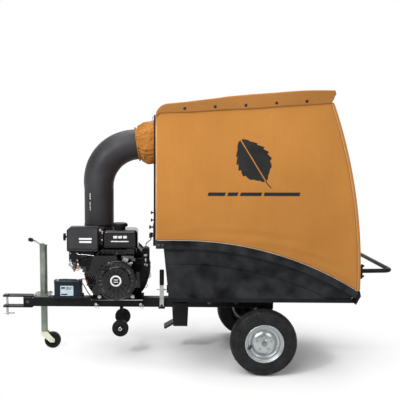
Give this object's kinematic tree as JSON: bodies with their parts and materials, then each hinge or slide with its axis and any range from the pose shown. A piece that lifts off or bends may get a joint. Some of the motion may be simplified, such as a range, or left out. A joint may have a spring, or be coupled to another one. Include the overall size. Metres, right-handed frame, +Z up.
{
  "type": "leaf vacuum mulcher",
  "caption": "Towed leaf vacuum: an engine-driven blower on the drawbar fills a tipping two-wheeled collector with a canvas top through an elbow chute.",
  "frame": {"origin": "on the ground, below the middle of the machine's length and width", "axes": "+X to the rear, away from the hitch; +Z up; -Y is the engine's pull-starter side"},
  "size_m": [2.496, 0.892, 1.7114],
  "materials": {
    "zinc": "satin",
    "frame_black": "satin",
    "engine_black": "gloss",
    "black_plastic": "matte",
    "tub_plastic": "textured",
    "chute_plastic": "matte",
    "canvas": "woven",
    "cast": "cast",
    "steel": "plain",
    "tyre": "matte",
    "red_wire": "matte",
    "black_rubber": "matte"
  },
  "bodies": {
    "trailer": {"drawbar": "frame_black", "hitch_plates": "frame_black", "chassis_frame": "frame_black", "axle_shaft": "steel", "jack_outer_tube": "zinc", "battery": "black_plastic", "battery_lead_red": "red_wire", "battery_lead_black": "black_rubber", "engine_base": "frame_black", "unit_axle": "frame_black", "crankcase": "cast", "cylinder": "cast", "fan_shroud": "engine_black", "recoil_cover": "engine_black", "fuel_tank": "engine_black", "air_cleaner_base": "black_plastic", "air_cleaner_cover": "black_plastic", "muffler": "steel", "carburetor": "cast", "switch_box": "black_plastic", "starter_motor": "engine_black", "blower_housing": "frame_black", "intake_spigot": "frame_black", "chute_adapter": "frame_black", "chute": "chute_plastic", "stand_leg": "frame_black", "interlock_cable": "black_rubber", "interlock_plug": "black_plastic"},
    "hitch_pin": {"hitch_pin": "steel"},
    "jack_crank": {"jack_crank": "zinc"},
    "jack_leg": {"jack_inner_tube": "zinc"},
    "caster_fork": {"caster_fork": "zinc"},
    "caster_wheel": {"caster_wheel": "black_plastic"},
    "rotor": {"crankshaft": "steel", "impeller": "steel"},
    "recoil_grip": {"recoil_grip": "black_plastic"},
    "fuel_cap": {"fuel_cap": "black_plastic"},
    "air_cleaner_knob": {"air_cleaner_knob": "black_plastic"},
    "throttle_lever": {"throttle_lever": "steel"},
    "choke_lever": {"choke_lever": "steel"},
    "ignition_key": {"ignition_key": "steel"},
    "unit_wheel_near": {"unit_wheel_near": "black_plastic"},
    "unit_wheel_far": {"unit_wheel_far": "black_plastic"},
    "road_wheel_near": {"road_wheel_near": "tyre"},
    "road_wheel_far": {"road_wheel_far": "tyre"},
    "latch": {"latch_lever": "zinc"},
    "foot_pedal": {"foot_pedal": "frame_black"},
    "collector": {"tub": "tub_plastic", "tub_frame": "frame_black", "cover_side_near": "canvas", "cover_side_far": "canvas", "cover_top": "canvas", "cover_front": "canvas", "inlet_collar": "canvas", "cover_frame": "frame_black", "front_fittings": "black_plastic"},
    "rear_door": {"door_panel": "canvas", "door_frame": "frame_black", "door_hinge": "steel", "dump_handle": "frame_black"}
  },
  "joints": [
    {"name": "dump_tilt", "type": "hinge", "parent": "trailer", "child": "collector", "pos_m": [0.506, 0, 0.436], "axis": [0, 1, 0], "range_deg": [0, 45], "deforming": ["inlet_collar"]},
    {"name": "rear_door_swing", "type": "hinge", "parent": "collector", "child": "rear_door", "pos_m": [0.828, 0, 1.668], "axis": [0, -1, 0], "range_deg": [0, 80]},
    {"name": "road_wheel_near_spin", "type": "hinge", "parent": "trailer", "child": "road_wheel_near", "pos_m": [0.456, -0.387, 0.2035], "axis": [0, 1, 0], "continuous": true},
    {"name": "road_wheel_far_spin", "type": "hinge", "parent": "trailer", "child": "road_wheel_far", "pos_m": [0.456, 0.387, 0.2035], "axis": [0, 1, 0], "continuous": true},
    {"name": "unit_wheel_near_spin", "type": "hinge", "parent": "trailer", "child": "unit_wheel_near", "pos_m": [-0.433, -0.141, 0.205], "axis": [0, 1, 0], "continuous": true},
    {"name": "unit_wheel_far_spin", "type": "hinge", "parent": "trailer", "child": "unit_wheel_far", "pos_m": [-0.433, 0.141, 0.205], "axis": [0, 1, 0], "continuous": true},
    {"name": "jack_crank_turn", "type": "hinge", "parent": "trailer", "child": "jack_crank", "pos_m": [-0.972, 0.066, 0.7], "axis": [0, 0, 1], "range_deg": [0, 10080]},
    {"name": "jack_slide", "type": "slide", "parent": "trailer", "child": "jack_leg", "axis": [0, 0, 1], "range_m": [0, 0.168]},
    {"name": "caster_swivel", "type": "hinge", "parent": "jack_leg", "child": "caster_fork", "pos_m": [-0.972, 0.066, 0.11], "axis": [0, 0, 1], "continuous": true},
    {"name": "caster_spin", "type": "hinge", "parent": "caster_fork", "child": "caster_wheel", "pos_m": [-0.916, 0.066, 0.056], "axis": [0, 1, 0], "continuous": true},
    {"name": "rotor_spin", "type": "hinge", "parent": "trailer", "child": "rotor", "pos_m": [-0.456, 0, 0.536], "axis": [0, 1, 0], "continuous": true},
    {"name": "recoil_pull", "type": "slide", "parent": "trailer", "child": "recoil_grip", "axis": [0, -1, 0], "range_m": [0, 0.3]},
    {"name": "fuel_cap_turn", "type": "hinge", "parent": "trailer", "child": "fuel_cap", "pos_m": [-0.44, -0.058, 0.87], "axis": [0, 0, 1], "range_deg": [0, 90]},
    {"name": "air_cleaner_knob_turn", "type": "hinge", "parent": "trailer", "child": "air_cleaner_knob", "pos_m": [-0.802, -0.078, 0.798], "axis": [1, 0, 0], "range_deg": [0, 1080]},
    {"name": "throttle_swing", "type": "hinge", "parent": "trailer", "child": "throttle_lever", "pos_m": [-0.416, -0.133, 0.706], "axis": [0, 1, 0], "range_deg": [0, 35]},
    {"name": "choke_swing", "type": "hinge", "parent": "trailer", "child": "choke_lever", "pos_m": [-0.494, -0.133, 0.706], "axis": [0, 1, 0], "range_deg": [0, 35]},
    {"name": "key_turn", "type": "hinge", "parent": "trailer", "child": "ignition_key", "pos_m": [-0.269, -0.03, 0.64], "axis": [0, 1, 0], "range_deg": [0, 60]},
    {"name": "latch_swing", "type": "hinge", "parent": "trailer", "child": "latch", "pos_m": [-0.162, -0.05, 0.336], "axis": [0, -1, 0], "range_deg": [0, 25], "stiffness_Nm_per_rad": 8, "springref_deg": -8.59},
    {"name": "pedal_press", "type": "hinge", "parent": "trailer", "child": "foot_pedal", "pos_m": [-0.071, 0, 0.218], "axis": [0, -1, 0], "range_deg": [0, 15], "stiffness_Nm_per_rad": 6, "springref_deg": -5.73},
    {"name": "hitch_pin_lift", "type": "slide", "parent": "trailer", "child": "hitch_pin", "axis": [0, 0, 1], "range_m": [0, 0.045]}
  ],
  "couplings": [
    {"joint": "jack_slide", "follows": "jack_crank_turn", "m_per_rad": 0.00095493}
  ]
}
